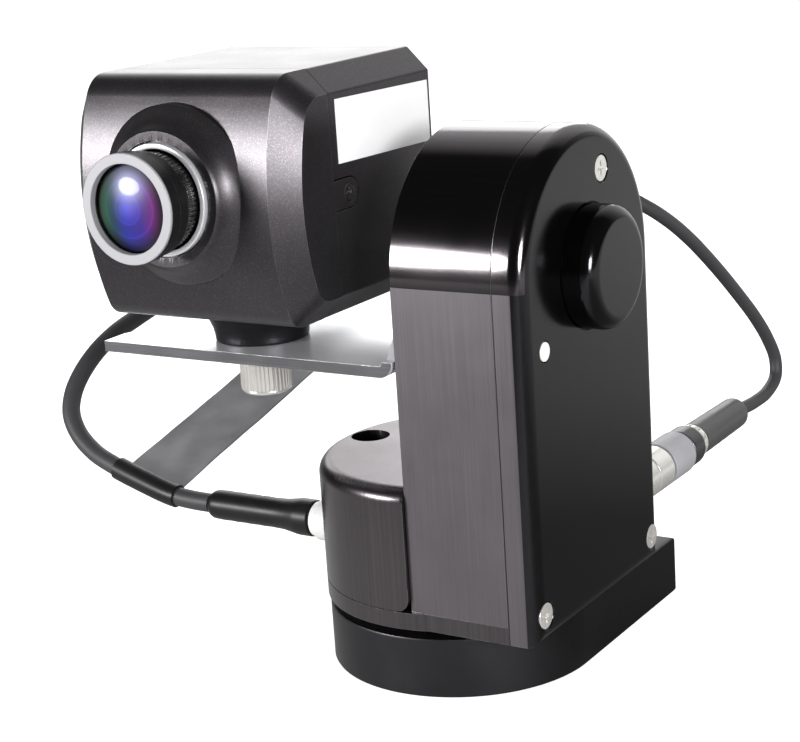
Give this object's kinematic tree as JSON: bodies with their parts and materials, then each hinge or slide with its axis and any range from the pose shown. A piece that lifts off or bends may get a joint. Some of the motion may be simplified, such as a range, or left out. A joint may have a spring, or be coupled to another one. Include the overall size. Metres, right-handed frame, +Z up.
{
  "type": "remote pan tilt head",
  "caption": "Motorised pan and tilt head: a low base carries a turning turret and arm, whose side shaft tilts a platform with a small box camera, wired by two free cables.",
  "frame": {"origin": "on the pan axis, at the underside of the base", "axes": "+Z up along the pan axis; the camera looks along -Y at rest; the tilt axis lies along X, with the arm on the +X side"},
  "size_m": [0.1351, 0.1598, 0.1095],
  "materials": {
    "black_anodised": "black anodised, semi gloss",
    "satin_anodised": "black anodised, satin with fine machining lines",
    "camera_black": "fine metallic black coat, bead blasted",
    "bright_aluminium": "bright polished",
    "matte_silver": "matte silver, blasted",
    "nickel": "nickel plated",
    "steel": "bright steel",
    "black_steel": "black oxide",
    "brass": "turned brass",
    "cable_rubber": "matte cable jacket",
    "shrink_sleeve": "glossy heat-shrink sleeve",
    "lens_black": "black anodised, satin",
    "coated_glass": "coated front element, violet and green reflections",
    "white_lens": "translucent white",
    "board": "circuit board",
    "inner_plastic": "moulded black"
  },
  "bodies": {
    "base": {"base_housing": "black_anodised", "base_bottom_plate": "black_anodised", "base_screw_1": "steel", "base_screw_2": "steel", "base_screw_3": "steel", "tripod_bush": "brass", "pan_axle": "steel", "slip_ring": "inner_plastic", "pan_ring_gear": "steel", "control_socket": "nickel", "video_socket": "nickel"},
    "pan_head": {"pan_plate": "black_anodised", "arm_frame": "satin_anodised", "side_cover": "black_anodised", "turret_cover": "satin_anodised", "cover_screw_1": "nickel", "cover_screw_2": "nickel", "cover_screw_3": "nickel", "turret_screw_1": "steel", "turret_screw_2": "steel", "indicator_lens": "white_lens", "pan_bearing": "steel", "tilt_bearing_arm": "steel", "tilt_bearing_cover": "steel", "pan_motor": "steel", "tilt_motor": "steel", "control_board": "board", "turret_socket": "nickel", "arm_socket": "nickel", "left_plug": "nickel", "left_boot": "shrink_sleeve", "left_cable": "cable_rubber", "cable_tag": "shrink_sleeve", "right_plug": "nickel", "right_boot": "shrink_sleeve", "right_cable": "cable_rubber"},
    "pan_pinion": {"pan_pinion": "brass"},
    "tilt_pinion": {"tilt_pinion": "brass"},
    "tilt_platform": {"camera_platform": "bright_aluminium", "tilt_shaft": "steel", "platform_bolt": "steel", "tilt_gear": "steel", "tilt_cap": "black_anodised", "camera_neck": "camera_black", "camera_front_shell": "camera_black", "camera_rear_shell": "camera_black", "camera_rear_panel": "camera_black", "camera_video_jack": "nickel", "camera_power_jack": "nickel", "left_camera_plug": "shrink_sleeve", "right_camera_plug": "shrink_sleeve", "sensor_board": "board", "shell_screw_left": "black_steel", "shell_screw_right": "black_steel", "lens_lock_ring": "bright_aluminium"},
    "camera_screw": {"camera_screw": "nickel"},
    "lens": {"lens_barrel": "lens_black", "lens_front_ring": "matte_silver", "lens_glass": "coated_glass"}
  },
  "joints": [
    {"name": "pan", "type": "hinge", "parent": "base", "child": "pan_head", "pos_m": [0, 0, 0.0127], "axis": [0, 0, 1], "continuous": true},
    {"name": "pan_pinion_spin", "type": "hinge", "parent": "pan_head", "child": "pan_pinion", "pos_m": [-0.00903, 0.01198, 0.0214], "axis": [0, 0, 1], "continuous": true},
    {"name": "tilt", "type": "hinge", "parent": "pan_head", "child": "tilt_platform", "pos_m": [0, 0, 0.0737], "axis": [1, 0, 0], "range_deg": [-60, 60], "deforming": ["left_cable", "right_cable"]},
    {"name": "tilt_pinion_spin", "type": "hinge", "parent": "pan_head", "child": "tilt_pinion", "pos_m": [0.0204, 0, 0.0587], "axis": [1, 0, 0], "range_deg": [-155, 155]},
    {"name": "camera_screw_turn", "type": "hinge", "parent": "tilt_platform", "child": "camera_screw", "pos_m": [-0.0327, -0.0118, 0.0578], "axis": [0, 0, 1], "range_deg": [-1440, 0]},
    {"name": "lens_focus", "type": "hinge", "parent": "tilt_platform", "child": "lens", "pos_m": [-0.0327, -0.038, 0.0896], "axis": [0, -1, 0], "range_deg": [-180, 180]}
  ],
  "couplings": [
    {"joint": "pan_pinion_spin", "follows": "pan", "ratio": 2.5714},
    {"joint": "tilt_pinion_spin", "follows": "tilt", "ratio": -2.5714}
  ]
}
